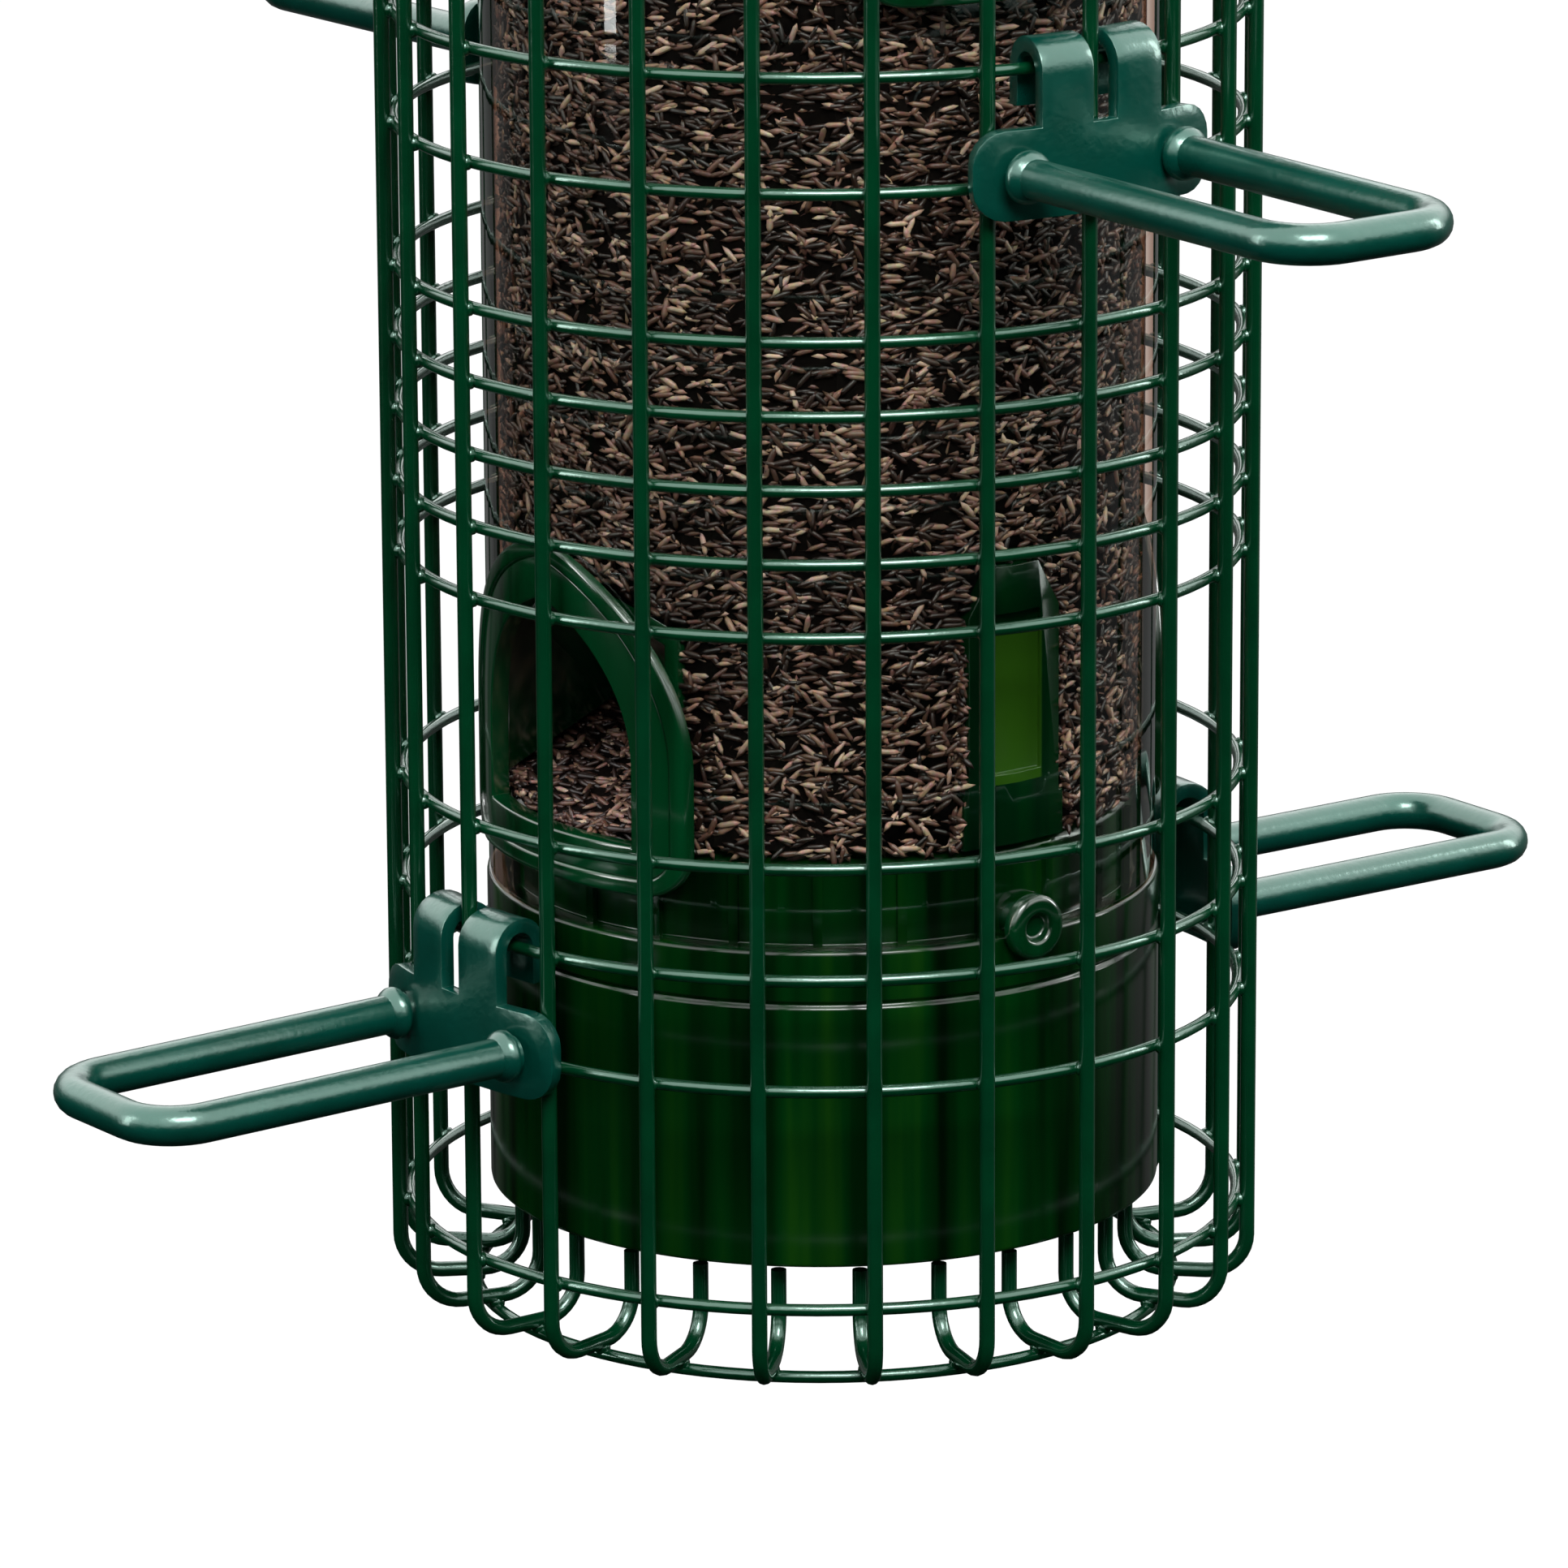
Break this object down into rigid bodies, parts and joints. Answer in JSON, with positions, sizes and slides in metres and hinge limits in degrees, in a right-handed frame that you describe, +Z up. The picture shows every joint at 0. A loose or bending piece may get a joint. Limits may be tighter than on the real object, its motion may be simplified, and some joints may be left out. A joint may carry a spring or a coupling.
{
  "type": "squirrel proof bird feeder",
  "caption": "Tube seed feeder in a spring-hung wire cage that drops over the seed ports under a squirrel's weight.",
  "frame": {"origin": "on the feeder's axis, level with the underside of the cage's foot", "axes": "+Z up along the axis; the lower ports and perches face -X and +X, the upper ones -Y and +Y"},
  "size_m": [0.2598, 0.2598, 0.546],
  "materials": {
    "cage_paint": "gloss green paint on steel wire",
    "perch_paint": "satin green paint on steel",
    "clear_plastic": "clear, polished",
    "green_plastic": "dark green, slightly translucent",
    "seed": "dry husks",
    "plated_steel": "zinc plated",
    "spring_steel": "bright drawn wire",
    "bush_plastic": "moulded black",
    "black_rubber": "matt"
  },
  "bodies": {
    "feeder_body": {"main_spring": "spring_steel", "seed_tube": "clear_plastic", "base_cup": "green_plastic", "seed_divider": "green_plastic", "seed_fill": "seed", "base_stud_front": "green_plastic", "base_stud_back": "green_plastic", "spring_bridge": "plated_steel", "bridge_screw_right": "plated_steel", "bridge_screw_left": "plated_steel", "bridge_nut_right": "plated_steel", "bridge_nut_left": "plated_steel", "hanger_rod": "plated_steel", "rod_nut_lower": "plated_steel", "rod_nut_upper": "plated_steel", "stop_collar": "plated_steel", "spring_washer_lower": "plated_steel", "port_frame_lower_left": "green_plastic", "port_hood_lower_left": "green_plastic", "port_frame_lower_right": "green_plastic", "port_hood_lower_right": "green_plastic", "port_frame_upper_front": "green_plastic", "port_hood_upper_front": "green_plastic", "port_frame_upper_back": "green_plastic", "port_hood_upper_back": "green_plastic"},
    "shroud": {"cage_panel_1": "cage_paint", "cage_panel_2": "cage_paint", "cage_panel_3": "cage_paint", "cage_panel_4": "cage_paint", "cage_panel_5": "cage_paint", "cage_panel_6": "cage_paint", "cage_panel_7": "cage_paint", "cage_panel_8": "cage_paint", "cage_yoke": "plated_steel", "yoke_bush": "bush_plastic", "spring_washer_upper": "plated_steel"},
    "lid_body": {"lid": "green_plastic", "lid_grommet": "black_rubber"},
    "perch_lower_left": {"perch_bracket_lower_left": "perch_paint", "perch_bar_lower_left": "perch_paint"},
    "perch_lower_right": {"perch_bracket_lower_right": "perch_paint", "perch_bar_lower_right": "perch_paint"},
    "perch_upper_front": {"perch_bracket_upper_front": "perch_paint", "perch_bar_upper_front": "perch_paint"},
    "perch_upper_back": {"perch_bracket_upper_back": "perch_paint", "perch_bar_upper_back": "perch_paint"}
  },
  "joints": [
    {"name": "shroud_drop", "type": "slide", "parent": "feeder_body", "child": "shroud", "axis": [0, 0, -1], "range_m": [0, 0.033], "stiffness_N_per_m": 100, "springref_m": -0.08, "deforming": ["main_spring"]},
    {"name": "lid_lift", "type": "slide", "parent": "feeder_body", "child": "lid_body", "axis": [0, 0, 1], "range_m": [0, 0.12]},
    {"name": "perch_lift_lower_left", "type": "slide", "parent": "shroud", "child": "perch_lower_left", "axis": [0, 0, 1], "range_m": [0, 0.008]},
    {"name": "perch_lift_lower_right", "type": "slide", "parent": "shroud", "child": "perch_lower_right", "axis": [0, 0, 1], "range_m": [0, 0.008]},
    {"name": "perch_lift_upper_front", "type": "slide", "parent": "shroud", "child": "perch_upper_front", "axis": [0, 0, 1], "range_m": [0, 0.008]},
    {"name": "perch_lift_upper_back", "type": "slide", "parent": "shroud", "child": "perch_upper_back", "axis": [0, 0, 1], "range_m": [0, 0.008]}
  ]
}
